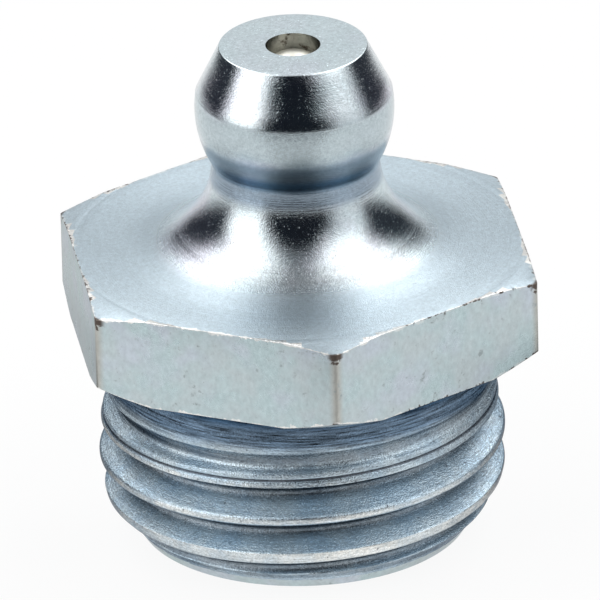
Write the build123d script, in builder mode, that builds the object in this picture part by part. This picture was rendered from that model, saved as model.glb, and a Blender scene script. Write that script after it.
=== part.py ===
"""Straight grease nipple: a turned body with a spring-loaded check ball inside its head.

Sizes are in millimetres. The threaded end face lies at z = 0, the axis is Z, and +Z points towards
the head that a grease gun's coupler grips. The body is turned from hexagon bar, so it is built the
way it is made: one turned outline, the flats of the bar, then the bore that is drilled from below.
"""
import math
import os

from build123d import *

# Threaded shank, G 1/4, held at the thread's major diameter. Depths are radial.
THREAD_DIAMETER = 13.157
THREAD_LENGTH = 5.1
LEAD_DEPTH = 1.25
LEAD_ANGLE = 40.0
RUNOUT_LENGTH = 1.58
RUNOUT_DEPTH = 0.28
RUNOUT_ANGLE = 45.0
RUNOUT_CORNER_RADIUS = 0.3

# Hexagon. Its corners are turned off above and below, at angles measured from its flat faces,
# and the turning starts a little outside the circle that touches the flats.
HEX_ACROSS_FLATS = 14.3
HEX_HEIGHT = 3.02
HEX_FACE_MARGIN = 0.35
HEX_TOP_ANGLE = 15.0
HEX_UNDERSIDE_ANGLE = 30.0

# Flare from the hexagon up to the neck, a quarter circle.
FLARE_RADIUS = 3.05

# Coupling head from the top down: a flat face, a cone, a rounded shoulder and the belly below the
# widest point, which draws in to the neck.
HEAD_DIAMETER = 6.42
HEAD_FACE_DIAMETER = 4.76
HEAD_CONE_LENGTH = 1.58
HEAD_SHOULDER_LENGTH = 0.57
HEAD_BELLY_LENGTH = 1.8
NECK_DRAW_IN = 0.5
HEAD_EDGE_ROUND = 0.05

# Check ball, and the clearances of the bore around it and of the spring below it.
BALL_DIAMETER = 2.4
BALL_SIDE_CLEARANCE = 0.175
SEAT_CLEARANCE = 0.02
SPRING_SIDE_CLEARANCE = 0.225
SPRING_WIRE = 0.28
SPRING_ACTIVE_TURNS = 6
SPRING_CLOSED_TURNS = 1
SPRING_COIL_GAP = 0.02

# Filling hole, and the drill point behind it, whose edge is the ball's seat.
FILL_HOLE_DIAMETER = 1.77
FILL_HOLE_DEPTH = 0.62
DRILL_POINT_ANGLE = 118.0

# Lip that is staked inwards under the spring, and the punch's ring around it.
LIP_THICKNESS = 0.5
LIP_REACH_PAST_WIRE = 0.12
STAKE_RING_MARGIN = 0.725
STAKE_RING_WIDTH = 0.7
STAKE_RING_DEPTH = 0.3

# How far cutting tools reach past a face.
OVERRUN = 1.0


def drop(run, angle):
    """Height that a cone of the given angle from the flat loses over a radial run."""
    return run * math.tan(math.radians(angle))


# Heights from the threaded end face up.
hex_underside_z = THREAD_LENGTH + RUNOUT_LENGTH
hex_top_z = hex_underside_z + HEX_HEIGHT
neck_z = hex_top_z + FLARE_RADIUS
head_widest_z = neck_z + HEAD_BELLY_LENGTH
head_edge_z = head_widest_z + HEAD_SHOULDER_LENGTH
head_face_z = head_edge_z + HEAD_CONE_LENGTH
seat_z = head_face_z - FILL_HOLE_DEPTH

# Radii of the turned outline.
thread_radius = THREAD_DIAMETER / 2
end_radius = thread_radius - LEAD_DEPTH
runout_radius = thread_radius - RUNOUT_DEPTH
hex_face_radius = HEX_ACROSS_FLATS / 2 + HEX_FACE_MARGIN
blank_radius = HEX_ACROSS_FLATS / math.sqrt(3) + OVERRUN
head_radius = HEAD_DIAMETER / 2
neck_radius = head_radius - NECK_DRAW_IN
flare_foot_radius = neck_radius + FLARE_RADIUS

# Shoulder and belly are one arc, upright at the widest point, so its radius follows from the neck.
belly_radius = (HEAD_BELLY_LENGTH**2 + NECK_DRAW_IN**2) / (2 * NECK_DRAW_IN)
shoulder_draw_in = belly_radius - math.sqrt(belly_radius**2 - HEAD_SHOULDER_LENGTH**2)
head_edge_radius = head_radius - shoulder_draw_in

# Radii of the bore and of what runs in it.
hole_radius = FILL_HOLE_DIAMETER / 2
ball_radius = BALL_DIAMETER / 2
bore_radius = ball_radius + BALL_SIDE_CLEARANCE
wire_radius = SPRING_WIRE / 2
coil_radius = bore_radius - SPRING_SIDE_CLEARANCE - wire_radius
lip_hole_radius = coil_radius - wire_radius - LIP_REACH_PAST_WIRE
stake_ring_radius = bore_radius + STAKE_RING_MARGIN

lead_length = LEAD_DEPTH / math.tan(math.radians(LEAD_ANGLE))
runout_chamfer_length = RUNOUT_DEPTH / math.tan(math.radians(RUNOUT_ANGLE))
corner_drop = drop(blank_radius - hex_face_radius, HEX_TOP_ANGLE)
corner_rise = drop(blank_radius - hex_face_radius, HEX_UNDERSIDE_ANGLE)

with BuildPart() as nipple_body:
    # Turned outline from the end face up the outside to the head, closed along the axis.
    with BuildSketch(Plane.XZ):
        with BuildLine():
            Polyline(
                (0, 0),
                (end_radius, 0),
                (thread_radius, lead_length),
                (thread_radius, THREAD_LENGTH),
                (runout_radius, THREAD_LENGTH + runout_chamfer_length),
                (runout_radius, hex_underside_z - RUNOUT_CORNER_RADIUS),
            )
            RadiusArc(
                (runout_radius, hex_underside_z - RUNOUT_CORNER_RADIUS),
                (runout_radius + RUNOUT_CORNER_RADIUS, hex_underside_z),
                RUNOUT_CORNER_RADIUS,
            )
            Polyline(
                (runout_radius + RUNOUT_CORNER_RADIUS, hex_underside_z),
                (hex_face_radius, hex_underside_z),
                (blank_radius, hex_underside_z + corner_rise),
                (blank_radius, hex_top_z - corner_drop),
                (hex_face_radius, hex_top_z),
                (flare_foot_radius, hex_top_z),
            )
            JernArc((flare_foot_radius, hex_top_z), (-1, 0), FLARE_RADIUS, -90)
            ThreePointArc(
                (neck_radius, neck_z),
                (head_radius, head_widest_z),
                (head_edge_radius, head_edge_z),
            )
            Polyline(
                (head_edge_radius, head_edge_z),
                (HEAD_FACE_DIAMETER / 2, head_face_z),
                (0, head_face_z),
                (0, 0),
            )
        make_face()
    revolve(axis=Axis.Z)
    head_face_edge = nipple_body.edges().filter_by(GeomType.CIRCLE).sort_by(Axis.Z)[-1]
    fillet(head_face_edge, HEAD_EDGE_ROUND)

    # Flats of the bar, with a corner on the Y axis.
    with BuildSketch(Plane.XY.offset(hex_underside_z)):
        Circle(blank_radius + OVERRUN)
        RegularPolygon(HEX_ACROSS_FLATS / 2, 6, major_radius=False, rotation=90, mode=Mode.SUBTRACT)
    extrude(amount=HEX_HEIGHT, mode=Mode.SUBTRACT)

    # Bore from the staked lip up to the drill point, which leaves the seat's edge, and the filling hole.
    with BuildSketch(Plane.XZ):
        with BuildLine():
            Polyline(
                (0, -OVERRUN),
                (lip_hole_radius, -OVERRUN),
                (lip_hole_radius, LIP_THICKNESS),
                (bore_radius, LIP_THICKNESS),
                (bore_radius, seat_z - drop(bore_radius - hole_radius, 90 - DRILL_POINT_ANGLE / 2)),
                (hole_radius, seat_z),
                (hole_radius, head_face_z + OVERRUN),
                (0, head_face_z + OVERRUN),
                close=True,
            )
        make_face()
    revolve(axis=Axis.Z, mode=Mode.SUBTRACT)

    # Ring that the staking punch leaves in the end face.
    with BuildSketch(Plane.XZ):
        with BuildLine():
            Polyline(
                (stake_ring_radius - STAKE_RING_WIDTH / 2, 0),
                (stake_ring_radius, STAKE_RING_DEPTH),
                (stake_ring_radius + STAKE_RING_WIDTH / 2, 0),
                close=True,
            )
        make_face()
    revolve(axis=Axis.Z, mode=Mode.SUBTRACT)

nipple_body.part.label = "nipple_body"

# The ball rests on the sharp edge where the filling hole meets the drill point.
ball_z = seat_z - math.sqrt(ball_radius**2 - hole_radius**2) - SEAT_CLEARANCE

with BuildPart() as check_ball:
    with BuildSketch(Plane.XZ):
        with BuildLine():
            ThreePointArc(
                (0, ball_z - ball_radius),
                (ball_radius, ball_z),
                (0, ball_z + ball_radius),
            )
            Line((0, ball_z + ball_radius), (0, ball_z - ball_radius))
        make_face()
    revolve(axis=Axis.Z)

check_ball.part.label = "check_ball"

# The spring stands on the lip, and the ball sits in its top coil.
spring_foot_z = LIP_THICKNESS + SEAT_CLEARANCE + wire_radius
spring_head_z = ball_z - math.sqrt((ball_radius + wire_radius + SEAT_CLEARANCE) ** 2 - coil_radius**2)
closed_pitch = SPRING_WIRE + SPRING_COIL_GAP
closed_length = SPRING_CLOSED_TURNS * closed_pitch
active_length = spring_head_z - spring_foot_z - 2 * closed_length
active_pitch = active_length / SPRING_ACTIVE_TURNS

with BuildPart() as ball_spring:
    with BuildLine() as wire_path:
        Helix(closed_pitch, closed_length, coil_radius, center=(0, 0, spring_foot_z))
        Helix(active_pitch, active_length, coil_radius, center=(0, 0, spring_foot_z + closed_length))
        Helix(closed_pitch, closed_length, coil_radius, center=(0, 0, spring_head_z - closed_length))
    with BuildSketch(Plane(origin=(coil_radius, 0, spring_foot_z), z_dir=(0, 1, 0))):
        Circle(wire_radius)
    sweep(path=wire_path.wires()[0], is_frenet=True)

ball_spring.part.label = "ball_spring"

os.makedirs("parts", exist_ok=True)
export_step(nipple_body.part, "parts/nipple_body.step")
export_step(check_ball.part, "parts/check_ball.step")
export_step(ball_spring.part, "parts/ball_spring.step")
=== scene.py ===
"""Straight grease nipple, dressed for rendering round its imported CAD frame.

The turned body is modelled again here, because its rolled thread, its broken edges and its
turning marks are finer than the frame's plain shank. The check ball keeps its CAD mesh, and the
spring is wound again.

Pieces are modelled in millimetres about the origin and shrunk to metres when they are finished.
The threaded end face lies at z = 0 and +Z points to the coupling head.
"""
import logging
import math
from dataclasses import dataclass, field
from enum import Enum
from typing import Any, Callable, ClassVar, Optional, Sequence, Union

import bmesh
import bpy
import numpy as np
from mathutils import Matrix, Vector


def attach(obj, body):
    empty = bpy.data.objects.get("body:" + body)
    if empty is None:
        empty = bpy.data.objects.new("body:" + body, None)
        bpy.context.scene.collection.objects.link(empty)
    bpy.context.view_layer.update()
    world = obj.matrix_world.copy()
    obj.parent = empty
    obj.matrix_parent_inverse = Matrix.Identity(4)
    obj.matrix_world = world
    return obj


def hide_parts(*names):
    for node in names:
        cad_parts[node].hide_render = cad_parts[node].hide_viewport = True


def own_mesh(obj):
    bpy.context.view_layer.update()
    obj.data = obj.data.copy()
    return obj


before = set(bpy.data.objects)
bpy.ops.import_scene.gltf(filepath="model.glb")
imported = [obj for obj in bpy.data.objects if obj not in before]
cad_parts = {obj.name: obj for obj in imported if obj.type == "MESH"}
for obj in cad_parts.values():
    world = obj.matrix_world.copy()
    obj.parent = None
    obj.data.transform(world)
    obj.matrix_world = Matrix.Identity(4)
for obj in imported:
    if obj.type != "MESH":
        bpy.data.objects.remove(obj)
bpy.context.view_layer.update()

log = logging.getLogger("grease_nipple")

MM = 0.001

# Vertices nearer than this, in millimetres, become one, while a piece is rough and once it is done.
ROUGH_MERGE = 1e-3
FINE_MERGE = 1e-4

# How far the normal of an upright face may lean.
UPRIGHT = 0.01

COS_60, SIN_60 = 0.5, 0.866

# The levels of a noise between which each kind of mark sets in.
CLOUDED = (0.35, 0.65)
TINTED = (0.45, 0.7)
PITTED = (0.65, 0.78)
STAINED = (0.68, 0.78)
CHIPPED = (0.66, 0.72)

Colour = tuple[float, float, float]
Outline = list[tuple[float, float]]
Table = tuple[tuple[float, float], ...]


# ---------------------------------------------------------------------------------------------
# Modelling tools
# ---------------------------------------------------------------------------------------------


def deselect_all() -> None:
    """Leaves edit mode if it is on, and deselects every object."""
    if bpy.context.object and bpy.context.object.mode != "OBJECT":
        bpy.ops.object.mode_set(mode="OBJECT")
    bpy.ops.object.select_all(action="DESELECT")


def select_only(*pieces: bpy.types.Object) -> None:
    """Selects these objects alone and makes the first of them active.

    Args:
        pieces: The objects.
    """
    deselect_all()
    for piece in pieces:
        piece.select_set(True)
    bpy.context.view_layer.objects.active = pieces[0]


def draw_outline(name: str, points: Outline) -> bpy.types.Object:
    """Draws an open outline in the XZ plane by extruding one vertex from point to point.

    Args:
        name: Name of the new object.
        points: Radius and height of each point, in order.

    Returns:
        The object that holds the outline, in edit mode with all of it selected.
    """
    deselect_all()
    bpy.ops.mesh.primitive_plane_add(size=1.0)
    piece = bpy.context.object
    piece.name = name
    bpy.ops.object.mode_set(mode="EDIT")
    bpy.ops.mesh.select_mode(type="VERT")
    bpy.ops.mesh.merge(type="CENTER")
    (x, z), *rest = points
    bpy.ops.transform.translate(value=(x, 0.0, z))
    for next_x, next_z in rest:
        step = (next_x - x, 0.0, next_z - z)
        bpy.ops.mesh.extrude_vertices_move(TRANSFORM_OT_translate={"value": step})
        x, z = next_x, next_z
    bpy.ops.mesh.select_all(action="SELECT")
    return piece


def arc(centre: tuple[float, float], radius: float, start: float, end: float, count: int) -> Outline:
    """Divides an arc evenly.

    Args:
        centre: Radius and height of the arc's centre.
        radius: The arc's own radius.
        start: Angle of its first point, in degrees, from the outward direction towards +Z.
        end: Angle of its last point, in degrees.
        count: How many points it has.

    Returns:
        The points, both ends included.
    """
    angles = [math.radians(start + (end - start) * i / (count - 1)) for i in range(count)]
    return [(centre[0] + radius * math.cos(a), centre[1] + radius * math.sin(a)) for a in angles]


def spaced(start: tuple[float, float], end: tuple[float, float], count: int) -> Outline:
    """Returns evenly spaced points on a straight run, both ends included."""
    shares = [i / (count - 1) for i in range(count)]
    return [(start[0] + (end[0] - start[0]) * s, start[1] + (end[1] - start[1]) * s) for s in shares]


def merge_doubles(distance: float) -> None:
    """Merges the vertices of the mesh in edit mode that lie this near each other."""
    bpy.ops.mesh.select_all(action="SELECT")
    bpy.ops.mesh.remove_doubles(threshold=distance)


def cut_away(point: Vector, normal: Vector, fill: bool) -> None:
    """Cuts the mesh in edit mode at a plane and removes what lies beyond it, towards its normal.

    Args:
        point: A point on the plane.
        normal: The plane's normal, towards the side that goes.
        fill: Whether the cut is closed with a face.
    """
    bpy.ops.mesh.select_all(action="SELECT")
    bpy.ops.mesh.bisect(
        plane_co=point,
        plane_no=normal,
        use_fill=fill,
        clear_outer=True,
        clear_inner=False,
        threshold=1e-5,
    )


def pick_edges(piece: bpy.types.Object, wanted: Callable[[bmesh.types.BMEdge], bool]) -> int:
    """Selects the edges of a piece in edit mode that pass a test, and nothing else.

    Args:
        piece: The object in edit mode.
        wanted: The test.

    Returns:
        How many edges were selected.
    """
    bpy.ops.mesh.select_mode(type="EDGE")
    bpy.ops.mesh.select_all(action="DESELECT")
    mesh = bmesh.from_edit_mesh(piece.data)
    chosen = [edge for edge in mesh.edges if wanted(edge)]
    for edge in chosen:
        edge.select_set(True)
    bmesh.update_edit_mesh(piece.data)
    return len(chosen)


def points_of(piece: bpy.types.Object) -> np.ndarray:
    """Reads a piece's vertices.

    Args:
        piece: The piece, in object mode.

    Returns:
        Their places, one row each.
    """
    flat = np.empty(len(piece.data.vertices) * 3, dtype=np.float32)
    piece.data.vertices.foreach_get("co", flat)
    return flat.reshape(-1, 3).astype(float)


def put_points(piece: bpy.types.Object, points: np.ndarray) -> None:
    """Writes vertex places back to a piece."""
    piece.data.vertices.foreach_set("co", points.astype(np.float32).ravel())
    piece.data.update()


def wind_round(piece: bpy.types.Object, pitch: float, turns: int, segments: int, **settings: Any) -> None:
    """Winds a piece up round the axis with a screw modifier, and applies it.

    Args:
        piece: The line or ring that is wound.
        pitch: Rise for each turn.
        turns: How many turns it makes.
        segments: Steps in each turn.
        settings: The modifier's further settings.
    """
    select_only(piece)
    screw = piece.modifiers.new(name="screw", type="SCREW")
    screw.axis = "Z"
    screw.angle = 2 * math.pi
    screw.screw_offset = pitch
    screw.iterations = turns
    screw.steps = segments
    screw.render_steps = segments
    for name, value in settings.items():
        setattr(screw, name, value)
    bpy.ops.object.modifier_apply(modifier=screw.name)


def finish_piece(piece: bpy.types.Object, crease: float) -> None:
    """Merges doubles, points faces outwards, smooths the shading and shrinks the piece to metres.

    Args:
        piece: The piece, modelled in millimetres.
        crease: Angle in degrees above which an edge stays sharp.
    """
    select_only(piece)
    bpy.ops.object.mode_set(mode="EDIT")
    merge_doubles(FINE_MERGE)
    bpy.ops.mesh.normals_make_consistent(inside=False)
    bpy.ops.mesh.select_all(action="DESELECT")
    bpy.ops.object.mode_set(mode="OBJECT")
    bpy.ops.object.shade_smooth_by_angle(angle=math.radians(crease))
    piece.scale = (MM, MM, MM)
    bpy.ops.object.transform_apply(location=True, rotation=True, scale=True)


# ---------------------------------------------------------------------------------------------
# Shader tools
# ---------------------------------------------------------------------------------------------


class ShaderTree:
    """The node tree of a material or a world, with one method that adds every kind of node."""

    def __init__(self, owner: Union[bpy.types.Material, bpy.types.World]) -> None:
        """Empties the owner's node tree.

        Args:
            owner: The material or world.
        """
        owner.use_nodes = True
        self.tree = owner.node_tree
        self.tree.nodes.clear()

    def add(
        self,
        kind: str,
        settings: Optional[dict[str, Any]] = None,
        inputs: Optional[dict[Union[str, int], Any]] = None,
    ) -> bpy.types.Node:
        """Adds a node.

        Args:
            kind: The node's type without its ShaderNode prefix.
            settings: The node's own properties, set first. A ramp's colours are given as stops.
            inputs: A value or a link for each input socket, by name or index.

        Returns:
            The new node.
        """
        node = self.tree.nodes.new("ShaderNode" + kind)
        for name, value in (settings or {}).items():
            if name == "stops":
                self._set_stops(node, value)
            else:
                setattr(node, name, value)
        for name, value in (inputs or {}).items():
            self.feed(node.inputs[name], value)
        return node

    @staticmethod
    def _set_stops(node: bpy.types.Node, stops: Sequence[tuple[float, Colour]]) -> None:
        """Gives a colour ramp its stops.

        Args:
            node: The ramp.
            stops: A position and a colour for each.
        """
        elements = node.color_ramp.elements
        while len(elements) < len(stops):
            elements.new(0.5)
        for element, (position, colour) in zip(elements, stops):
            element.position = position
            element.color = (*colour, 1.0)

    def feed(self, socket: bpy.types.NodeSocket, value: Any) -> None:
        """Links a socket, or sets its value.

        Args:
            socket: The input socket.
            value: A Number or a socket to link it to, or the value to set.
        """
        if isinstance(value, Number):
            value = value.socket
        if isinstance(value, bpy.types.NodeSocket):
            self.tree.links.new(value, socket)
        elif isinstance(value, tuple) and socket.type == "RGBA":
            socket.default_value = (*value, 1.0)
        else:
            socket.default_value = value

    def number(self, socket: bpy.types.NodeSocket) -> "Number":
        """Wraps a socket for shader maths."""
        return Number(self, socket)

    def mix(self, share: Any, first: Any, second: Any) -> bpy.types.NodeSocket:
        """Returns the colour between first, at share 0, and second, at share 1."""
        inputs = {0: share, 6: first, 7: second}
        return self.add("Mix", {"data_type": "RGBA"}, inputs).outputs[2]

    def ramp(self, value: Any, low: float, high: float) -> "Number":
        """Turns a value into a soft step.

        Args:
            value: The value.
            low: Where the step starts.
            high: Where it ends, which may be the lower of the two.

        Returns:
            0 up to low and 1 from high on.
        """
        inputs = {"Value": value, "From Min": low, "From Max": high}
        node = self.add("MapRange", {"interpolation_type": "SMOOTHSTEP"}, inputs)
        return self.number(node.outputs["Result"])

    def between(self, value: Any, low: float, high: float, soft: float) -> "Number":
        """Returns 1 from low to high and 0 beyond them, both ends soft by this much either way."""
        return self.ramp(value, low - soft, low + soft) * self.ramp(value, high + soft, high - soft)

    def noise(self, vector: Any, scale: float, detail: float = 2.0, roughness: float = 0.5) -> "Number":
        """Returns a noise of about 0 to 1 with features about one unit over scale wide."""
        inputs = {"Vector": vector, "Scale": scale, "Detail": detail, "Roughness": roughness}
        return self.number(self.add("TexNoise", None, inputs).outputs["Fac"])

    def scaled(self, vector: Any, factor: Any) -> bpy.types.NodeSocket:
        """Returns a vector or colour times a number."""
        return self.add("VectorMath", {"operation": "SCALE"}, {0: vector, "Scale": factor}).outputs[0]

    def vector(self, *coordinates: Any) -> bpy.types.NodeSocket:
        """Returns the vector with these three coordinates."""
        return self.add("CombineXYZ", None, dict(enumerate(coordinates))).outputs[0]

    def split(self, vector: Any) -> tuple["Number", ...]:
        """Returns a vector's three coordinates."""
        return tuple(self.number(axis) for axis in self.add("SeparateXYZ", None, {0: vector}).outputs)

    def place(self) -> bpy.types.NodeSocket:
        """Returns the place on the piece as a vector in millimetres."""
        return self.scaled(self.add("TexCoord").outputs["Object"], 1.0 / MM)

    def close(self, kind: str, shader: bpy.types.Node) -> None:
        """Adds the output node of this kind and links the shader to it."""
        self.add(kind, None, {"Surface": shader.outputs[0]})


class Number:
    """A number socket on which Python operators build Math nodes."""

    def __init__(self, tree: ShaderTree, socket: bpy.types.NodeSocket) -> None:
        """Wraps one output socket of a tree."""
        self.tree = tree
        self.socket = socket

    def math(self, operation: str, *others: Any, flip: bool = False) -> "Number":
        """Adds a Math node.

        Args:
            operation: The node's operation.
            others: Its further operands.
            flip: Whether this number is the second operand and not the first.

        Returns:
            The node's result.
        """
        operands = [self, *others]
        if flip:
            operands.reverse()
        node = self.tree.add("Math", {"operation": operation}, dict(enumerate(operands)))
        return Number(self.tree, node.outputs[0])

    def __add__(self, other: Any) -> "Number":
        """self + other."""
        return self.math("ADD", other)

    def __sub__(self, other: Any) -> "Number":
        """self - other."""
        return self.math("SUBTRACT", other)

    def __rsub__(self, other: Any) -> "Number":
        """other - self."""
        return self.math("SUBTRACT", other, flip=True)

    def __mul__(self, other: Any) -> "Number":
        """self * other."""
        return self.math("MULTIPLY", other)

    def __abs__(self) -> "Number":
        """abs(self)."""
        return self.math("ABSOLUTE")

    __radd__ = __add__
    __rmul__ = __mul__

    def least(self, other: Any) -> "Number":
        """The smaller of self and other."""
        return self.math("MINIMUM", other)

    def most(self, other: Any) -> "Number":
        """The larger of self and other."""
        return self.math("MAXIMUM", other)


# ---------------------------------------------------------------------------------------------
# Finishes
# ---------------------------------------------------------------------------------------------


class Zone(Enum):
    """How a surface of the body was worked before it was plated."""

    TURNED = "turned"
    DRAWN = "drawn"
    ROLLED = "rolled"
    BROKEN = "broken"
    BORED = "bored"


@dataclass(frozen=True)
class Matt:
    """A duller stretch of a finish, which sets in between two radii, in millimetres.

    Its surface falls outwards by fall for each millimetre, too little to model.
    """

    start: float
    end: float
    colour: Colour
    extra_roughness: float
    extra_rings: float
    extra_grain: float
    fall: float


@dataclass(frozen=True)
class ShadingBand:
    """A stretch between two heights, in millimetres, with deeper turning marks and a colour painted
    over the plating's: painted shade where it is darker, a painted sheen where it is lighter.

    Share is how far its colour covers the plating's own. Its ends are soft by SOFT either way.
    """

    SOFT: ClassVar[float] = 0.2

    low: float
    high: float
    colour: Colour
    share: float = 1.0
    extra_rings: float = 0.0


@dataclass(frozen=True)
class Place:
    """A place on the part in a material's nodes, in millimetres, as one vector and by coordinate."""

    tree: ShaderTree
    grid: bpy.types.NodeSocket
    x: Number
    y: Number
    z: Number
    radius: Number

    @classmethod
    def on(cls, tree: ShaderTree) -> "Place":
        """Reads the place that a material's nodes are worked out for.

        Args:
            tree: The material's nodes.

        Returns:
            The place.
        """
        grid = tree.place()
        x, y, z = tree.split(grid)
        return cls(tree, grid, x, y, z, (x * x + y * y).math("SQRT"))

    def noise(self, scale: float, detail: float = 2.0, roughness: float = 0.5) -> Number:
        """Returns a noise over the part, with features about one millimetre over scale wide."""
        return self.tree.noise(self.grid, scale, detail, roughness)


@dataclass
class Surface:
    """A plated surface while its layers are laid on.

    Rings and grain are factors on how deep the turning marks and the pitting are.
    """

    place: Place
    colour: Any
    roughness: Any
    rings: Any = 1.0
    grain: Any = 1.0

    def tint(self, share: Number, colour: Colour) -> None:
        """Lays another colour over the surface, by a share from 0 to 1."""
        self.colour = self.place.tree.mix(share, self.colour, colour)


@dataclass(frozen=True)
class ChippedEdge:
    """Worn rims and corner nicks on the hexagon, where the deposit is broken, and a painted highlight along
    the rims near the front corner.

    Lengths are in millimetres. Outside the face radius the rims close in by their slopes. The
    edge is pale, worn and partly a painted highlight, up to pale width from the rim, give or take
    a ragged noise. Chips are dark, and rarer raises the noise level that they need. Past far, away
    from the corner at the front, they need less by far darkening, and the pale edge loses the
    share far loss, so that its painted highlight stays near the front corner. The nicks sit at the
    nick height above and below the hexagon's middle.
    """

    pale: Colour = (0.8, 0.8, 0.78)
    pale_width: float = 0.04
    pale_soft: float = 0.05
    ragged: float = 0.6
    dark: Colour = (0.1, 0.08, 0.07)
    rarer: float = 0.0
    dark_fall: float = 1.6
    far_darkening: float = 0.18
    far: tuple[float, float] = (-6.9, -5.6)
    far_lean: float = 0.4
    far_loss: float = 0.6
    across_flats: float = 14.3
    face_radius: float = 7.5
    rims: tuple[float, float] = (6.68, 9.7)
    slopes: tuple[float, float] = (0.577, 0.268)
    nick_radius: float = 8.18
    nick_depth: float = 0.1
    nick_height: float = 1.08
    nick_soft: float = 0.06
    nick_spread: float = 0.8

    def inwards(self, place: Place) -> Number:
        """Works out how deep a place lies in the hexagon.

        Args:
            place: The place.

        Returns:
            Its distance from the nearest edge.
        """
        (low, high), (low_slope, high_slope) = self.rims, self.slopes
        half, rise = place.x * COS_60, place.y * SIN_60
        reach = abs(place.x).most(abs(half + rise)).most(abs(half - rise))
        outer = (place.radius - self.face_radius).most(0.0)
        away = (place.z - low - outer * low_slope).least(high - place.z - outer * high_slope)
        return away.most(self.across_flats / 2 - reach)

    def nicks(self, place: Place, uneven: Number) -> Number:
        """Finds the nicks at both ends of each corner.

        Args:
            place: The place.
            uneven: The noise that shapes them, about 0.

        Returns:
            1 in the nicks and 0 elsewhere.
        """
        upright = abs(place.z - sum(self.rims) / 2) - self.nick_height
        corner = place.radius + upright * self.nick_spread + uneven * self.nick_spread
        nick = place.tree.ramp(corner, self.nick_radius, self.nick_radius + self.nick_soft)
        return nick * place.tree.ramp(place.radius, self.nick_radius - self.nick_depth, self.nick_radius)

    def lay_on(self, surface: Surface) -> None:
        """Wears and chips a surface along the hexagon's edges.

        Args:
            surface: The surface, which is changed.
        """
        place, ramp = surface.place, surface.place.tree.ramp
        away = self.inwards(place)
        far = ramp(place.x * self.far_lean + place.y, *self.far)
        # Pale rims: worn plating, and near the front corner a painted highlight.
        pale = away + (place.noise(2.5, 4.0, 0.65) - 0.5) * self.ragged
        pale = ramp(pale, self.pale_width, self.pale_width - self.pale_soft)
        surface.tint(pale * (1.0 - far * self.far_loss), self.pale)
        spots = place.noise(5.0, 4.0, 0.7)
        dark = spots + far * self.far_darkening - away * self.dark_fall
        dark = ramp(dark, *(level + self.rarer for level in CHIPPED))
        surface.tint(dark.most(self.nicks(place, spots - 0.5)), self.dark)


@dataclass(frozen=True)
class WornAndShadedCrests:
    """Worn crests and painted light on the thread, where the body's own attribute says: crests worn
    bright, partly a painted highlight, and painted shade in the seams and the roots.

    Even in its dullest patches a crest keeps the share dullest of its shine.
    """

    # Crest colour: worn plating, partly a painted highlight.
    rub_glint: Colour = (0.84, 0.84, 0.8)
    shine: tuple[float, float] = (0.3, 1.0)
    dullest: float = 0.55
    patches: tuple[float, float] = (0.4, 0.6)
    # Painted shade in the seam and the roots.
    crease_shade: Colour = (0.06, 0.07, 0.09)
    crease_shade_gain: float = 0.8
    crease_shade_most: float = 0.85

    def lay_on(self, surface: Surface) -> None:
        """Brightens a surface along the crests, worn and partly a painted highlight, and paints shade into
        the seams and roots.

        Args:
            surface: The surface, which is changed.
        """
        place, tree = surface.place, surface.place.tree
        wear_and_shading = tree.number(tree.add("Attribute", {"attribute_name": "wear_and_shading"}).outputs["Fac"])
        wear_and_shading = wear_and_shading * (0.5 + place.noise(3.0, 3.0, 0.7))
        patchy = self.dullest + tree.ramp(place.noise(0.5), *self.patches) * (1.0 - self.dullest)
        # Worn crests, brightened further as a painted highlight.
        surface.tint(tree.ramp(wear_and_shading, *self.shine) * patchy, self.rub_glint)
        # Painted shade in the seam and the roots.
        surface.tint((wear_and_shading * -self.crease_shade_gain).most(0.0).least(self.crease_shade_most), self.crease_shade)


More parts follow.
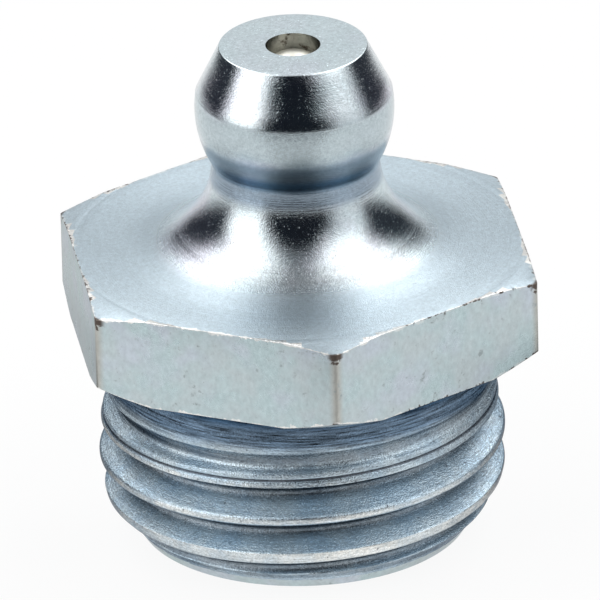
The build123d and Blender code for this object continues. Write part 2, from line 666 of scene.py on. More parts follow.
@dataclass(frozen=True)
class ZincPlate:
    """Bright zinc plating, over one kind of worked steel.

    Lengths are in millimetres. Grain is the fine pitting, rings are the turning marks, mottling
    is the uneven brightness of the deposit, which may run along the bar, and clouds are the faint
    tints of the passivated plating. Corner tints the hexagon's corners. Stretch makes the gloss
    spread across the turning marks, and grazing dulls it where the surface is seen edge on.
    """

    zone: Zone
    colour: Colour
    cloud: Colour
    cloud_size: float
    roughness: float
    rough_spread: float
    grain_size: float
    grain_depth: float
    grain_shade: float = 0.06
    pit_size: float = 0.06
    pit_depth: float = 0.0
    pit_roughness: float = 0.0
    ring_size: float = 0.06
    ring_run: float = 3.0
    ring_depth: float = 0.0
    ring_shade: float = 0.0
    stretch: float = 0.0
    grazing: Optional[Colour] = None
    mottle_size: float = 0.14
    mottle_run: float = 1.0
    mottle_shade: float = 0.25
    tint: Optional[Colour] = None
    tint_size: float = 2.6
    corner: Optional[Colour] = None
    corner_radii: tuple[float, float] = (8.1, 8.25)
    stain: Colour = (0.16, 0.14, 0.13)
    stain_size: float = 0.4
    stain_share: float = 0.0
    matt: Optional[Matt] = None
    shading_bands: tuple[ShadingBand, ...] = ()
    crests: Optional[WornAndShadedCrests] = None
    edge: Optional[ChippedEdge] = None

    def material(self) -> bpy.types.Material:
        """Builds the plated material.

        Returns:
            The material.
        """
        made = bpy.data.materials.new(f"zinc_{self.zone.value}")
        tree = ShaderTree(made)
        surface = self._deposit(Place.on(tree))
        self._dull(surface)
        # Worn crests, partly a painted highlight, and painted shade in the thread's seam and roots.
        if self.crests:
            self.crests.lay_on(surface)
        if self.stain_share:
            spots = surface.place.noise(1.0 / self.stain_size, 5.0, 0.7)
            surface.tint(tree.ramp(spots, *(level - self.stain_share for level in STAINED)), self.stain)
        if self.edge:
            self.edge.lay_on(surface)
        height, shade = self._relief(surface)
        bump = tree.add("Bump", None, {"Strength": 1.0, "Distance": MM, "Height": height})
        sockets = {
            "Base Color": tree.scaled(surface.colour, shade),
            "Metallic": 1.0,
            "Roughness": surface.roughness,
            "Normal": bump.outputs[0],
        }
        if self.stretch:
            sockets |= {"Anisotropic": self.stretch, "Anisotropic Rotation": 0.25}
        if self.grazing:
            sockets |= {"Specular Tint": self.grazing}
        tree.close("OutputMaterial", tree.add("BsdfPrincipled", None, sockets))
        return made

    def _deposit(self, place: Place) -> Surface:
        """Lays down the zinc as it leaves the bath, cloudy and faintly tinted.

        Args:
            place: The place.

        Returns:
            The bare surface.
        """
        clouds = place.noise(1.0 / self.cloud_size, 3.0, 0.6)
        colour = place.tree.mix(place.tree.ramp(clouds, *CLOUDED), self.colour, self.cloud)
        surface = Surface(place, colour, self.roughness + (clouds - 0.5) * self.rough_spread)
        if self.tint:
            surface.tint(place.tree.ramp(place.noise(1.0 / self.tint_size), *TINTED), self.tint)
        return surface

    def _dull(self, surface: Surface) -> None:
        """Dulls the matt stretch, tints the corners, and paints the darker band colours as shade and the
        lighter one as sheen.

        Args:
            surface: The surface, which is changed.
        """
        place, tree = surface.place, surface.place.tree
        if self.matt:
            dulled = tree.ramp(place.radius, self.matt.start, self.matt.end)
            surface.tint(dulled, self.matt.colour)
            surface.roughness += dulled * self.matt.extra_roughness
            surface.rings = dulled * self.matt.extra_rings + surface.rings
            surface.grain = dulled * self.matt.extra_grain + surface.grain
        if self.corner:
            surface.tint(tree.ramp(place.radius, *self.corner_radii), self.corner)
        # Painted shade from the darker band colours, and painted sheen from the lighter one.
        for band in self.shading_bands:
            inside = tree.between(place.z, band.low, band.high, band.SOFT)
            surface.tint(inside * band.share, band.colour)
            if band.extra_rings:
                surface.rings = inside * band.extra_rings + surface.rings

    def _relief(self, surface: Surface) -> tuple[Number, Number]:
        """Works out the grain, the turning marks and the pits.

        Args:
            surface: The surface, whose roughness the pits change.

        Returns:
            The surface's height in millimetres, and the factor on its brightness.
        """
        place, tree = surface.place, surface.place.tree
        grain = place.noise(1.0 / self.grain_size, 2.0, 0.65)
        uneven = tree.vector(place.x, place.y, place.z * (1.0 / self.mottle_run))
        mottle = tree.noise(uneven, 1.0 / self.mottle_size, 3.0, 0.6)
        shade = (grain - 0.5) * (2.0 * self.grain_shade) + (mottle - 0.5) * (2.0 * self.mottle_shade) + 1.0
        height = grain * (surface.grain * self.grain_depth)
        if self.matt:
            height = height - (place.radius - self.matt.start).most(0.0) * self.matt.fall
        if self.ring_depth:
            rings = self._rings(place)
            height = height + rings * (surface.rings * self.ring_depth)
            shade = shade + (rings - 0.5) * (surface.rings * (2.0 * self.ring_shade))
        if self.pit_depth:
            pits = tree.ramp(place.noise(1.0 / self.pit_size, 1.0), *PITTED)
            height = height - pits * self.pit_depth
            surface.roughness += pits * self.pit_roughness
        return height, shade

    def _rings(self, place: Place) -> Number:
        """Draws a noise out round the axis, as the turning marks.

        Args:
            place: The place.

        Returns:
            The marks, about 0 to 1.
        """
        run = 1.0 / self.ring_run
        along = (place.z - place.radius) * (1.0 / self.ring_size)
        return place.tree.noise(place.tree.vector(place.x * run, place.y * run, along), 1.0, 3.0, 0.6)


PLATING: dict[Zone, ZincPlate] = {
    Zone.TURNED: ZincPlate(
        zone=Zone.TURNED,
        colour=(0.56, 0.65, 0.68),
        cloud=(0.6, 0.65, 0.68),
        cloud_size=3.0,
        roughness=0.09,
        rough_spread=0.06,
        grain_size=0.04,
        grain_depth=0.0065,
        grain_shade=0.3,
        pit_size=0.08,
        pit_depth=0.0035,
        pit_roughness=0.1,
        ring_depth=0.003,
        ring_shade=0.04,
        stretch=0.9,
        tint=(0.6, 0.61, 0.68),
        matt=Matt(
            start=3.85,
            end=4.9,
            colour=(0.45, 0.53, 0.58),
            extra_roughness=0.26,
            extra_rings=1.5,
            extra_grain=1.0,
            fall=0.07,
        ),
        shading_bands=(
            # Painted shade on the neck under the belly.
            ShadingBand(12.1, 13.0, (0.3, 0.37, 0.44), extra_rings=4.0),
            # Painted shade on the belly's lower half.
            ShadingBand(12.85, 13.75, (0.22, 0.27, 0.32), share=0.85),
            # Painted reflection: a dark blue band at the foot of the belly.
            ShadingBand(12.8, 13.15, (0.08, 0.17, 0.27), share=0.9),
            # Painted shade on the belly's upper half.
            ShadingBand(13.9, 15.1, (0.46, 0.54, 0.57), share=0.9),
            # Painted sheen on the head's flat face.
            ShadingBand(16.7, 17.2, (0.74, 0.84, 0.86)),
        ),
        edge=ChippedEdge(pale_width=0.06, rarer=0.02),
    ),
    Zone.DRAWN: ZincPlate(
        zone=Zone.DRAWN,
        colour=(0.47, 0.58, 0.6),
        cloud=(0.5, 0.57, 0.59),
        cloud_size=1.6,
        roughness=0.28,
        rough_spread=0.1,
        grain_size=0.07,
        grain_depth=0.006,
        grazing=(0.72, 0.73, 0.73),
        mottle_size=0.16,
        mottle_run=1.3,
        mottle_shade=0.22,
        tint=(0.52, 0.58, 0.64),
        tint_size=1.4,
        corner=(0.44, 0.44, 0.41),
        stain=(0.31, 0.36, 0.37),
        stain_share=0.08,
        edge=ChippedEdge(),
    ),
    Zone.ROLLED: ZincPlate(
        zone=Zone.ROLLED,
        colour=(0.43, 0.54, 0.63),
        cloud=(0.52, 0.61, 0.67),
        cloud_size=1.2,
        roughness=0.24,
        rough_spread=0.16,
        grain_size=0.05,
        grain_depth=0.022,
        grain_shade=0.4,
        pit_size=0.1,
        pit_depth=0.006,
        pit_roughness=0.1,
        ring_size=0.07,
        ring_run=1.2,
        ring_depth=0.005,
        ring_shade=0.5,
        grazing=(0.2, 0.22, 0.26),
        mottle_size=0.12,
        mottle_run=0.4,
        mottle_shade=0.5,
        stain=(0.06, 0.07, 0.09),
        stain_size=0.2,
        stain_share=0.06,
        shading_bands=(
            # Painted shade on the run-out under the hexagon.
            ShadingBand(5.3, 6.7, (0.07, 0.12, 0.19), share=0.85, extra_rings=3.0),
            # Painted shadow right under the hexagon.
            ShadingBand(6.0, 6.7, (0.035, 0.07, 0.12)),
        ),
        crests=WornAndShadedCrests(),
    ),
    Zone.BROKEN: ZincPlate(
        zone=Zone.BROKEN,
        colour=(0.74, 0.73, 0.7),
        cloud=(0.6, 0.58, 0.56),
        cloud_size=0.8,
        roughness=0.3,
        rough_spread=0.1,
        grain_size=0.12,
        grain_depth=0.03,
        edge=ChippedEdge(far_darkening=0.2),
    ),
    Zone.BORED: ZincPlate(
        zone=Zone.BORED,
        colour=(0.24, 0.25, 0.23),
        cloud=(0.4, 0.4, 0.37),
        cloud_size=0.5,
        roughness=0.3,
        rough_spread=0.15,
        grain_size=0.06,
        grain_depth=0.012,
        stain=(0.06, 0.045, 0.035),
        stain_share=0.16,
    ),
}


@dataclass(frozen=True)
class PlainSteel:
    """Bare steel, ground or drawn. Streak is how far its roughness varies."""

    name: str
    colour: Colour
    roughness: float
    streak: float

    def material(self) -> bpy.types.Material:
        """Builds the bare steel material.

        Returns:
            The material.
        """
        made = bpy.data.materials.new(self.name)
        tree = ShaderTree(made)
        marks = tree.noise(tree.place(), 6.0, 3.0)
        rough = self.roughness + (marks - 0.5) * self.streak
        sockets = {"Base Color": self.colour, "Metallic": 1.0, "Roughness": rough}
        tree.close("OutputMaterial", tree.add("BsdfPrincipled", None, sockets))
        return made


# ---------------------------------------------------------------------------------------------
# Sub-assemblies
# ---------------------------------------------------------------------------------------------


def soft_least(first: np.ndarray, second: np.ndarray, blend: float) -> np.ndarray:
    """Returns the smaller of two arrays, with the corner where they cross rounded over blend."""
    near = np.clip(0.5 + 0.5 * (second - first) / blend, 0.0, 1.0)
    return second + (first - second) * near - blend * near * (1.0 - near)


@dataclass
class RolledThread:
    """The G 1/4 thread, rolled into the shank: full in the middle, cut back at both ends.

    Radii and heights are in millimetres, and a table gives pairs of a height and a value. Crests
    and roots are rounded alike. The lead cuts the thread back at the end face. Under the hexagon
    it runs out: its crest fades into a flat band with a seam along it, and its roots lift and open.
    Within rub depth of the crest it is worn bright and partly painted with a highlight, by the
    table rub heights, and painted shade lies in the seam and in the roots.
    """

    major_radius: float = 6.5785
    pitch: float = 1.337
    half_angle: float = 27.5
    depth: float = 0.856
    root_radius: float = 0.1836
    runout_root: float = 0.42
    runout: tuple[float, float] = (3.9, 4.8)
    crest_height: float = 0.5895
    flat_depth: float = 0.15
    seam_offset: float = 0.045
    seam_width: float = 0.045
    seam_depth: float = 0.045
    seam_end: float = 5.0
    seam_fade: float = 0.3
    # Worn crests, partly a painted highlight.
    rub_glint_depth: float = 0.06
    rub_glint_heights: Table = ((-0.6, 0.0), (2.2, 1.0), (3.7, 1.0), (4.5, 0.0))
    # Painted shade in the seam and the roots.
    seam_shade: float = 1.8
    seam_shade_rise: Table = ((3.6, 0.0), (4.0, 1.0))
    root_shade: float = 0.7
    root_shade_offset: tuple[float, float] = (0.42, 0.58)
    root_shade_end: Table = ((4.9, 1.0), (5.2, 0.0))
    crest_reach: float = 0.24
    crest_rows: int = 22
    flank_rows: int = 20
    turns: int = 7
    segments: int = 288
    bottom: float = 0.02
    top: float = 6.25
    blend: float = 0.04
    lead: Table = ((0.0, 1.25), (0.45, 0.96), (1.25, 0.2), (1.92, 0.05), (2.5, 0.0))
    crest_fade: Table = (
        (3.4, 0.0),
        (3.93, 0.13),
        (4.3, 0.2),
        (4.6, 0.245),
        (5.18, 0.3),
        (5.24, 0.275),
        (5.6, 0.28),
        (5.75, 0.31),
        (5.95, 0.325),
        (6.1, 0.31),
        (6.25, 0.28),
    )
    lift: Table = ((4.2, 0.0), (4.9, 0.12), (5.3, 0.23), (5.7, 0.35))

    def tooth(self, offset: np.ndarray, root: np.ndarray) -> np.ndarray:
        """Works out the full thread's profile.

        Args:
            offset: Distance from the middle of the crest, along the axis, up to half a pitch.
            root: Radius to which the root is rounded there.

        Returns:
            The depth under the major radius.
        """
        away = np.abs(offset)
        half = math.radians(self.half_angle)
        sharp = (self.pitch / 2 / math.tan(half) + self.depth) / 2
        from_root = self.pitch / 2 - away
        flank = sharp - from_root / math.tan(half)
        rounded = sharp - root / math.sin(half) + np.sqrt(np.maximum(root**2 - from_root**2, 0.0))
        groove = np.where(from_root < root * math.cos(half), rounded, flank)
        tip = self.root_radius - np.sqrt(np.maximum(self.root_radius**2 - away**2, 0.0))
        return np.where(away < self.root_radius * math.cos(half), tip, groove)

    def place(self, points: np.ndarray) -> tuple[np.ndarray, np.ndarray]:
        """Finds where points lie on the thread.

        Args:
            points: The points, one row each.

        Returns:
            Their distances from the nearest crest, along the axis, and their heights.
        """
        angle = np.arctan2(points[:, 1], points[:, 0])
        along = points[:, 2] - self.crest_height - self.pitch * angle / (2 * math.pi)
        return along - self.pitch * np.round(along / self.pitch), points[:, 2]

    @staticmethod
    def along(height: np.ndarray, table: Table) -> np.ndarray:
        """Looks heights up in a table of height and value."""
        heights, values = zip(*table)
        return np.interp(height, heights, values)

    def seam(self, offset: np.ndarray, height: np.ndarray) -> np.ndarray:
        """Returns how near each point is to the seam on the flat crest, up to 1 on it."""
        near = np.exp(-(((offset - self.seam_offset) / self.seam_width) ** 2))
        return near * np.clip((self.seam_end - height) / self.seam_fade, 0.0, 1.0)

    def radius(self, points: np.ndarray) -> np.ndarray:
        """Works out the thread's surface.

        Args:
            points: Points of the shank, one row each.

        Returns:
            The radius at each point's angle and height.
        """
        offset, height = self.place(points)
        root = np.interp(height, self.runout, (self.root_radius, self.runout_root))
        groove = self.major_radius - self.tooth(offset, root) + self.along(height, self.lift)
        limit = self.major_radius - self.along(height, self.crest_fade)
        flat = np.clip((self.major_radius - limit) / self.flat_depth, 0.0, 1.0)
        body = soft_least(groove, limit, self.blend)
        body = body - self.seam_depth * flat * self.seam(offset, height)
        return soft_least(body, self.major_radius - self.along(height, self.lead), self.blend)

    def wear_and_shading(self, points: np.ndarray) -> np.ndarray:
        """Works out how the thread is worn, and where highlight and shade are painted on it.

        Args:
            points: Points of the finished thread, one row each.

        Returns:
            For each, up to 1 on the crests, worn bright and partly a painted highlight, or below 0 as
            painted shade.
        """
        offset, height = self.place(points)
        reach = np.hypot(points[:, 0], points[:, 1])
        outer = self.major_radius - self.along(height, self.lead) - self.along(height, self.crest_fade)
        # Worn crests, partly a painted highlight.
        rub_glint = np.clip(1.0 - (outer - reach) / self.rub_glint_depth, 0.0, 1.0)
        # Painted shade in the seam and the roots.
        seam = self.seam(offset, height) * self.along(height, self.seam_shade_rise)
        root = np.interp(np.abs(offset), self.root_shade_offset, (0.0, 1.0)) * (1.0 - rub_glint)
        root = root * self.along(height, self.root_shade_end)
        return rub_glint * self.along(height, self.rub_glint_heights) - self.seam_shade * seam - self.root_shade * root

    def build(self) -> bpy.types.Object:
        """Winds one pitch of plain band into a helicoid, then moves it in to the thread's radius.

        Returns:
            The band from its bottom to its top, open at both ends, in millimetres.
        """
        crest = self.crest_height - 2 * self.pitch
        low, high = crest - self.crest_reach, crest + self.crest_reach
        line = spaced((self.major_radius, low), (self.major_radius, high), self.crest_rows + 1)
        line += spaced(line[-1], (self.major_radius, low + self.pitch), self.flank_rows + 1)[1:]
        band = draw_outline("thread_band", line)
        bpy.ops.object.mode_set(mode="OBJECT")
        merging = {"use_merge_vertices": True, "merge_threshold": FINE_MERGE}
        wind_round(band, self.pitch, self.turns, self.segments, **merging)
        bpy.ops.object.mode_set(mode="EDIT")
        merge_doubles(ROUGH_MERGE)
        cut_away(Vector((0, 0, self.bottom)), Vector((0, 0, -1)), fill=False)
        cut_away(Vector((0, 0, self.top)), Vector((0, 0, 1)), fill=False)
        bpy.ops.object.mode_set(mode="OBJECT")
        points = points_of(band)
        scale = self.radius(points) / np.hypot(points[:, 0], points[:, 1])
        points[:, 0] *= scale
        points[:, 1] *= scale
        put_points(band, points)
        return band


@dataclass
class TurnedBody:
    """The nipple's body: shank, hexagon, flare and coupling head, turned from one bar.

    The thread is a band of its own. A seam gap above it and an end gap inside its foot are left
    in the turned outline, and bridged once the two are joined.
    """

    name: str = "turned_body"
    thread: RolledThread = field(default_factory=RolledThread)
    end_radius: float = 5.3285
    runout_radius: float = 6.2985
    runout_corner: float = 0.3
    underside_z: float = 6.68
    across_flats: float = 14.3
    face_radius: float = 7.5
    underside_angle: float = 30.0
    top_angle: float = 15.0
    hex_top_z: float = 9.7
    blank_margin: float = 0.5
    corner_break: float = 0.08
    rim_break: float = 0.1
    broken_reach: float = 0.12
    ring_mark: float = 7.25
    ring_mark_half: float = 0.05
    ring_mark_depth: float = 0.008
    flare_radius: float = 3.05
    neck_radius: float = 2.71
    head_radius: float = 3.21
    belly_length: float = 1.8
    shoulder_length: float = 0.57
    face_z: float = 16.7
    head_face_radius: float = 2.38
    face_round: float = 0.06
    hole_radius: float = 0.885
    hole_depth: float = 0.62
    bore_radius: float = 1.375
    bored_from: float = 0.4
    drill_angle: float = 118.0
    lip_hole_radius: float = 0.75
    lip_thickness: float = 0.5
    stake_radius: float = 2.1
    stake_width: float = 0.7
    stake_depth: float = 0.3
    rim_height: float = 0.33
    end_gap: float = 0.1
    seam_gap: float = 0.06
    face_slack: float = 0.01

    def outline(self) -> Outline:
        """Draws up the half outline, from the shank's top round the head and down the bore.

        Returns:
            Its points, in order.
        """
        neck_z = self.hex_top_z + self.flare_radius
        widest_z = neck_z + self.belly_length
        drawn_in = self.head_radius - self.neck_radius
        belly = (self.belly_length**2 + drawn_in**2) / (2 * drawn_in)
        lowest = -math.degrees(math.asin(self.belly_length / belly))
        highest = math.degrees(math.asin(self.shoulder_length / belly))
        blank = self.across_flats / math.sqrt(3) + self.blank_margin
        run = blank - self.face_radius
        rise = run * math.tan(math.radians(self.underside_angle))
        fall = run * math.tan(math.radians(self.top_angle))
        corner = (self.runout_radius + self.runout_corner, self.underside_z - self.runout_corner)
        hole_foot = self.face_z - self.hole_depth
        drill_rise = (self.bore_radius - self.hole_radius) / math.tan(math.radians(self.drill_angle / 2))
        mark, half = self.ring_mark, self.ring_mark_half
        points = [(self.runout_radius, self.thread.top + self.seam_gap)]
        points += arc(corner, self.runout_corner, 180.0, 90.0, count=6)
        points += [(self.face_radius, self.underside_z)]
        points += [(blank, self.underside_z + rise), (blank, self.hex_top_z - fall)]
        points += [(self.face_radius, self.hex_top_z), (mark + half, self.hex_top_z)]
        points += [(mark, self.hex_top_z - self.ring_mark_depth)]
        foot = self.neck_radius + self.flare_radius
        points += spaced((mark - half, self.hex_top_z), (foot, self.hex_top_z), count=5)
        points += arc((foot, neck_z), self.flare_radius, -90.0, -180.0, count=40)[1:]
        belly_centre = (self.head_radius - belly, widest_z)
        points += arc(belly_centre, belly, lowest, 0.0, count=18)[1:]
        points += arc(belly_centre, belly, 0.0, highest, count=7)[1:]
        points += self.cone_and_face(points[-1])
        points += [(self.hole_radius, hole_foot), (self.bore_radius, hole_foot - drill_rise)]
        points += [(self.bore_radius, self.lip_thickness), (self.lip_hole_radius, self.lip_thickness)]
        points += [(self.lip_hole_radius, 0.0)]
        points += [(self.stake_radius - self.stake_width / 2, 0.0), (self.stake_radius, self.stake_depth)]
        points += [(self.stake_radius + self.stake_width / 2, 0.0), (self.end_radius - self.end_gap, 0.0)]
        return points

    def cone_and_face(self, shoulder: tuple[float, float]) -> Outline:
        """Draws up the head's cone, its rounded edge and its flat face.

        Args:
            shoulder: Radius and height of the cone's foot.

        Returns:
            Their points after the shoulder, upwards and inwards.
        """
        slant = math.degrees(
            math.atan2(self.face_z - shoulder[1], shoulder[0] - self.head_face_radius)
        )
        tangent = self.face_round * math.tan(math.radians(slant) / 2)
        centre = (self.head_face_radius - tangent, self.face_z - self.face_round)
        edge = arc(centre, self.face_round, 90.0 - slant, 90.0, count=6)
        face = spaced(edge[-1], (self.hole_radius, self.face_z), count=5)
        return spaced(shoulder, edge[0], count=5)[1:] + edge[1:] + face[1:]

    def build(self) -> bpy.types.Object:
        """Models the body and replaces the CAD body with it.

        Returns:
            The finished body.
        """
        body = draw_outline(self.name, self.outline())
        bpy.ops.mesh.spin(
            steps=self.thread.segments,
            angle=2 * math.pi,
            center=(0, 0, 0),
            axis=(0, 0, 1),
            use_auto_merge=True,
        )
        merge_doubles(ROUGH_MERGE)
        self.mill_flats(body)
        bpy.ops.object.mode_set(mode="OBJECT")
        band = self.thread.build()
        select_only(body, band)
        bpy.ops.object.join()
        self.close_seams(body)
        self.plate(body)
        finish_piece(body, crease=32.0)
        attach(body, "body")
        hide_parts("nipple_body")
        return body

    def mill_flats(self, body: bpy.types.Object) -> None:
        """Cuts the six flats, with a corner on the Y axis, and breaks their edges.

        Args:
            body: The turned body, in edit mode.
        """
        for side in range(6):
            facing = math.radians(60.0 * side)
            normal = Vector((math.cos(facing), math.sin(facing), 0.0))
            cut_away(normal * (self.across_flats / 2), normal, fill=True)

        def is_flat(face: bmesh.types.BMFace) -> bool:
            """Whether a face stands upright on the hexagon's outside."""
            out = face.calc_center_median().xy.length
            return abs(face.normal.z) < UPRIGHT and out > self.across_flats / 2 - self.rim_break

        def flats_beside(edge: bmesh.types.BMEdge) -> int:
            """How many of an edge's two faces are flats."""
            return sum(is_flat(face) for face in edge.link_faces) if len(edge.link_faces) == 2 else -1

        bpy.ops.mesh.normals_make_consistent(inside=False)
        corners = pick_edges(body, lambda edge: flats_beside(edge) == 2)
        bpy.ops.mesh.bevel(offset=self.corner_break, segments=4, affect="EDGES", clamp_overlap=True)
        rims = pick_edges(body, lambda edge: flats_beside(edge) == 1)
        bpy.ops.mesh.bevel(offset=self.rim_break, segments=3, affect="EDGES", clamp_overlap=True)
        log.info("hexagon: %d corners and %d rim edges broken", corners, rims)

    def close_seams(self, body: bpy.types.Object) -> None:
        """Joins the thread's two open ends to the turned outline.

        Args:
            body: The body, in object mode, with the thread's band in its mesh.
        """
        bpy.ops.object.mode_set(mode="EDIT")
        self.bridge(body, 0.0, self.thread.bottom)
        self.bridge(body, self.thread.top, self.thread.top + self.seam_gap)
        bpy.ops.object.mode_set(mode="OBJECT")

    @staticmethod
    def bridge(body: bpy.types.Object, low: float, high: float, slack: float = 0.01) -> None:
        """Bridges the two open loops that lie at these heights.

        Args:
            body: The body, in edit mode.
            low: Height of one loop.
            high: Height of the other.
            slack: How far past them their edges may lie.
        """

        def is_open(edge: bmesh.types.BMEdge) -> bool:
            """Whether an edge belongs to one of the loops."""
            inside = all(low - slack < vertex.co.z < high + slack for vertex in edge.verts)
            return edge.is_boundary and inside

        pick_edges(body, is_open)
        bpy.ops.mesh.bridge_edge_loops()

    def plate(self, body: bpy.types.Object) -> None:
        """Gives each face the plating of its zone, and the thread its worn crests, partly a painted
        highlight, and its painted shade.

        Args:
            body: The body, in object mode and still in millimetres.
        """
        zones = list(Zone)
        body.data.materials.clear()
        for zone in zones:
            body.data.materials.append(PLATING[zone].material())
        for face in body.data.polygons:
            face.material_index = zones.index(self.zone_of(face))
        points = points_of(body)
        height, reach = points[:, 2], np.hypot(points[:, 0], points[:, 1])
        threaded = (height < self.thread.top) & (height > self.thread.bottom)
        threaded = threaded & (reach > self.end_radius - self.end_gap / 2)
        # Worn crests, partly a painted highlight, and painted shade in the thread's seam and roots.
        wear_and_shading = body.data.attributes.new("wear_and_shading", "FLOAT", "POINT")
        wear_and_shading.data.foreach_set("value", np.where(threaded, self.thread.wear_and_shading(points), 0.0).astype(np.float32))

    def zone_of(self, face: bpy.types.MeshPolygon) -> Zone:
        """Tells which zone a face belongs to, by its place and direction.

        Args:
            face: The face.

        Returns:
            Its zone.
        """
        centre, out = face.center, face.center.xy.length
        flat = self.across_flats / 2
        facing = math.atan2(centre.y, centre.x)
        off = (facing + math.pi / 6) % (math.pi / 3) - math.pi / 6
        reach = out * math.cos(off)
        outside = out > self.stake_radius + self.stake_width
        inside = out < self.bore_radius + self.face_slack
        if abs(face.normal.z) < UPRIGHT and reach > flat - self.corner_break:
            return Zone.DRAWN
        if reach > flat - self.broken_reach:
            return Zone.BROKEN
        if outside and centre.z < self.rim_height:
            return Zone.DRAWN
        if outside and centre.z < self.underside_z - self.face_slack / 2:
            return Zone.ROLLED
        if inside and self.bored_from < centre.z < self.face_z - self.face_slack:
            return Zone.BORED
        return Zone.TURNED


@dataclass
class CheckBall:
    """The ground ball that closes the filling hole. Its CAD mesh is kept."""

    node: str = "check_ball"

    def dress(self, finish: PlainSteel) -> bpy.types.Object:
        """Gives the ball its finish.

        Args:
            finish: The steel that it is ground from.

        Returns:
            The ball.
        """
        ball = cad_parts[self.node]
        ball.data.materials.clear()
        ball.data.materials.append(finish.material())
        return ball


@dataclass
class BallSpring:
    """The wound spring under the ball, with a closed turn at each end."""

    name: str = "wound_spring"
    wire_radius: float = 0.14
    coil_radius: float = 1.01
    foot_z: float = 0.66
    head_z: float = 14.34
    closed_pitch: float = 0.3
    active_turns: int = 6
    segments: int = 48
    wire_sides: int = 12
    travel: float = 1.2

    def wind(self, name: str, start: float, pitch: float, turns: int) -> bpy.types.Object:
        """Winds a stretch of wire.

        Args:
            name: Name of the new object.
            start: Height of the wire's middle at its foot.
            pitch: Rise for each turn.
            turns: How many whole turns it has.

        Returns:
            The wound wire, open at both ends, in millimetres.
        """
        deselect_all()
        bpy.ops.mesh.primitive_circle_add(
            vertices=self.wire_sides,
            radius=self.wire_radius,
            location=(self.coil_radius, 0, start),
            rotation=(math.pi / 2, 0, 0),
        )
        wire = bpy.context.object
        wire.name = name
        bpy.ops.object.transform_apply(location=True, rotation=True, scale=True)
        wind_round(wire, pitch, turns, self.segments)
        return wire

    def build(self, finish: PlainSteel) -> bpy.types.Object:
        """Models the spring and replaces the CAD spring with it.

        Args:
            finish: The steel of its wire.

        Returns:
            The finished spring.
        """
        active_foot = self.foot_z + self.closed_pitch
        active_head = self.head_z - self.closed_pitch
        active_pitch = (active_head - active_foot) / self.active_turns
        spring = self.wind(self.name, self.foot_z, self.closed_pitch, 1)
        active = self.wind("active_turns", active_foot, active_pitch, self.active_turns)
        closed = self.wind("closed_turn", active_head, self.closed_pitch, 1)
        select_only(spring, active, closed)
        bpy.ops.object.join()
        bpy.ops.object.mode_set(mode="EDIT")
        merge_doubles(ROUGH_MERGE)
        pick_edges(spring, lambda edge: edge.is_boundary)
        bpy.ops.mesh.edge_face_add()
        bpy.ops.object.mode_set(mode="OBJECT")
        spring.data.materials.append(finish.material())
        finish_piece(spring, crease=40.0)
        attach(spring, "body")
        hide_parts("ball_spring")
        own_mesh(spring)
        return spring


# ---------------------------------------------------------------------------------------------
# Studio
# ---------------------------------------------------------------------------------------------


@dataclass
class Camera:
    """The long lens that looks down on the part.

    Angles are in degrees and lengths in millimetres. Aim is the point that it looks at, by its
    distance to the right of the axis and its height.
    """

    azimuth: float = -97.87
    elevation: float = 25.308
    distance: float = 600.0
    focal_length: float = 1118.0
    aim: tuple[float, float] = (0.031, 7.657)
    roll: float = -1.377

    def build(self) -> bpy.types.Object:
        """Places the camera and makes it the scene's.

        Returns:
            The camera.
        """
        around, above = math.radians(self.azimuth), math.radians(self.elevation)
        back = Vector(
            (math.cos(around) * math.cos(above), math.sin(around) * math.cos(above), math.sin(above))
        )
        right = Vector((-math.sin(around), math.cos(around), 0.0))
        aim = right * self.aim[0] + Vector((0.0, 0.0, self.aim[1]))
        deselect_all()
        bpy.ops.object.camera_add()
        camera = bpy.context.object
        camera.data.lens = self.focal_length
        camera.data.clip_start = 0.01
        camera.data.clip_end = 20.0
        up = back.cross(right)
        turned = Matrix.Rotation(math.radians(self.roll), 3, back)
        axes = Matrix((turned @ right, turned @ up, turned @ back)).transposed()
        camera.matrix_world = Matrix.Translation((aim + back * self.distance) * MM) @ axes.to_4x4()
        bpy.context.scene.camera = camera
        return camera

    def seen(self, x: Number, y: Number) -> tuple[Number, Number]:
        """Turns two coordinates to the camera's side.

        Args:
            x: The first coordinate of a place or direction.
            y: The second.

        Returns:
            How far it lies towards the camera, and how far to the camera's right.
        """
        turn = math.radians(self.azimuth)
        ahead = x * math.cos(turn) + y * math.sin(turn)
        return ahead, y * math.cos(turn) - x * math.sin(turn)


@dataclass(frozen=True)
class Glow:
    """A patch of the studio seen from the part, by direction.

    Angles are in degrees: around is the azimuth of its middle from the camera's side, positive to
    its right, reach is how far it goes to either side, and above gives its lowest and highest
    elevation. A mirrored patch stands on both sides. Narrowing is how far its sides close in for
    each degree above NARROWS, and sinking how far its top comes down for each degree round past
    SINKS.
    """

    NARROWS: ClassVar[float] = 15.0
    SINKS: ClassVar[float] = 120.0

    colour: Colour
    around: float
    reach: float
    above: tuple[float, float]
    soft: float = 6.0
    mirrored: bool = False
    narrowing: float = 0.0
    sinking: float = 0.0


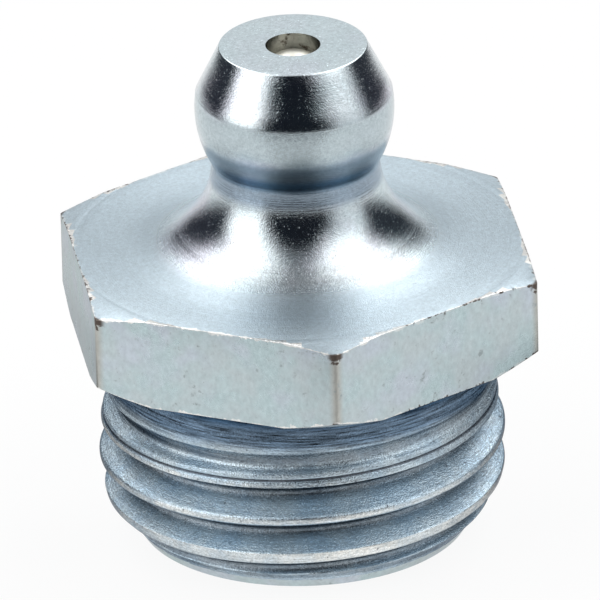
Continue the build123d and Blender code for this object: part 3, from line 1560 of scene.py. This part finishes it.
@dataclass
class Studio:
    """Pale floor, whose front edge lies just before the part, and the soft light round it.

    Lengths are in millimetres. The floor shows white to the camera and in mirror images, by the
    camera's and the glossy share, and is grey paint in the light that it throws on the part. All
    round it fades out over fade. Before the part it first thins by front dimming, over dimmed, and
    then fades out over front, whose edges slant back by slant. In mirror images it also thins
    beside the part, by beside dimming, over beside, as far as beside end from the axis.
    """

    camera: Camera
    wall: Colour = (0.75, 0.78, 0.8)
    floor_radius: float = 400.0
    floor_sides: int = 96
    floor_colour: float = 0.8
    camera_share: float = 0.9
    glossy_share: float = 0.9
    fade: tuple[float, float] = (60.0, 200.0)
    dimmed: tuple[float, float] = (5.0, 15.0)
    front: tuple[float, float] = (45.0, 130.0)
    front_dimming: float = 0.28
    slant: float = 1.2
    beside: tuple[float, float] = (6.0, 13.0)
    beside_end: tuple[float, float] = (16.0, 24.0)
    beside_dimming: float = 0.7
    patches: tuple[Glow, ...] = (
        Glow((0.42, 0.43, 0.46), 180.0, 30.0, (54.0, 100.0), 10.0, mirrored=True),
        Glow((0.95, 0.97, 1.0), 180.0, 30.0, (36.0, 56.0), 10.0, mirrored=True),
        Glow((2.0, 2.0, 2.0), 104.0, 68.0, (35.0, 69.0), 8.0, mirrored=True),
        Glow((3.8, 3.8, 3.8), -150.0, 14.0, (38.0, 58.0), 8.0),
        Glow((4.8, 4.8, 4.8), 150.0, 16.0, (38.0, 58.0), 8.0),
        Glow((0.035, 0.04, 0.05), 121.0, 33.5, (-95.0, 32.0), 10.0, mirrored=True, sinking=0.5),
        Glow((2.1, 2.1, 2.1), -65.5, 22.5, (3.0, 62.0)),
        Glow((1.0, 1.02, 1.04), 74.5, 13.5, (3.0, 30.0)),
        Glow((2.1, 2.1, 2.1), 71.0, 14.0, (26.0, 62.0)),
        Glow((0.012, 0.015, 0.02), 1.0, 44.0, (-95.0, 51.0), 5.0, narrowing=0.6),
        Glow((0.22, 0.23, 0.24), 0.0, 26.0, (52.0, 75.0)),
        Glow((0.27, 0.27, 0.28), 0.0, 200.0, (74.0, 100.0)),
    )

    def light(self) -> None:
        """Lays the soft light out on the world, by direction."""
        world = bpy.data.worlds.new("studio")
        bpy.context.scene.world = world
        tree = ShaderTree(world)
        x, y, z = tree.split(tree.add("TexCoord").outputs["Generated"])
        ahead, aside = self.camera.seen(x, y)
        around = aside.math("ARCTAN2", ahead) * math.degrees(1.0)
        above = z.math("ARCSINE") * math.degrees(1.0)
        light: Any = self.wall
        for patch in self.patches:
            light = tree.mix(self._share(tree, patch, around, above), light, patch.colour)
        seen = tree.number(tree.add("LightPath").outputs["Is Camera Ray"])
        shown = tree.mix(seen, light, (1.0, 1.0, 1.0))
        tree.close("OutputWorld", tree.add("Background", None, {"Color": shown, "Strength": 1.0}))

    @staticmethod
    def _share(tree: ShaderTree, patch: Glow, around: Number, above: Number) -> Number:
        """Finds a patch.

        Args:
            tree: The world's nodes.
            patch: The patch.
            around: A direction's azimuth from the camera's side.
            above: Its elevation.

        Returns:
            1 inside the patch and 0 outside it, with soft ends.
        """
        beside = abs((abs(around) if patch.mirrored else around) - patch.around)
        if patch.narrowing:
            beside = beside + (above - patch.NARROWS).most(0.0) * patch.narrowing
        if patch.sinking:
            above = above + (abs(around) - patch.SINKS).most(0.0) * patch.sinking
        soft = patch.soft / 2
        share = tree.ramp(beside, patch.reach + soft, patch.reach - soft)
        return share * tree.between(above, *patch.above, soft)

    def _thinned(self, tree: ShaderTree, mirrored: Number) -> Number:
        """Works out where the floor fades out.

        Args:
            tree: The floor's nodes.
            mirrored: 1 where the floor is seen in a mirror image or through glass.

        Returns:
            How far it is gone, from 0 to 1.
        """
        place = Place.on(tree)
        ahead, aside = self.camera.seen(place.x, place.y)
        before = ahead - abs(aside) * self.slant
        dim = tree.ramp(before, *self.dimmed) * self.front_dimming
        gone = tree.ramp(place.radius, *self.fade).most(dim.most(tree.ramp(before, *self.front)))
        near = tree.ramp(abs(aside) - ahead.most(0.0), *self.beside)
        near = near * (1.0 - tree.ramp(place.radius, *self.beside_end))
        return gone.most(near * mirrored * self.beside_dimming)

    def floor(self) -> bpy.types.Object:
        """Lays the pale floor.

        Returns:
            The floor.
        """
        deselect_all()
        bpy.ops.mesh.primitive_circle_add(
            vertices=self.floor_sides,
            radius=self.floor_radius * MM,
            fill_type="NGON",
        )
        floor = bpy.context.object
        floor.name = "floor"
        made = bpy.data.materials.new("floor_white")
        tree = ShaderTree(made)
        paint = tree.add("BsdfDiffuse", None, {"Color": (self.floor_colour,) * 3})
        white = tree.add("Emission", None, {"Color": (1.0, 1.0, 1.0), "Strength": 1.0})
        rays = tree.add("LightPath").outputs
        camera, glossy, clear = (
            tree.number(rays[f"Is {kind} Ray"]) for kind in ("Camera", "Glossy", "Transmission")
        )
        mirrored = glossy.most(clear)
        seen = (camera * self.camera_share).most(mirrored * self.glossy_share)
        lit = tree.add("MixShader", None, {0: seen, 1: paint.outputs[0], 2: white.outputs[0]})
        gone = self._thinned(tree, mirrored)
        nothing = tree.add("BsdfTransparent")
        shader = tree.add("MixShader", None, {0: gone, 1: lit.outputs[0], 2: nothing.outputs[0]})
        tree.close("OutputMaterial", shader)
        floor.data.materials.append(made)
        return floor


def main() -> None:
    """Builds, dresses and lights the part, piece by piece."""
    logging.basicConfig(level=logging.INFO, format="%(name)s: %(message)s")
    scene = bpy.context.scene
    scene.view_settings.view_transform = "Standard"
    body = TurnedBody().build()
    log.info("%s: %d faces", body.name, len(body.data.polygons))
    ball = CheckBall().dress(PlainSteel("ball_steel", (0.72, 0.7, 0.62), 0.35, 0.1))
    log.info("%s: %d faces", ball.name, len(ball.data.polygons))
    spring = BallSpring().build(PlainSteel("spring_steel", (0.5, 0.5, 0.5), 0.3, 0.1))
    log.info("%s: %d faces", spring.name, len(spring.data.polygons))
    camera = Camera()
    camera.build()
    studio = Studio(camera)
    floor = studio.floor()
    studio.light()
    log.info("%s: laid, with %d patches of light round it", floor.name, len(studio.patches))


if __name__ == "__main__":
    main()
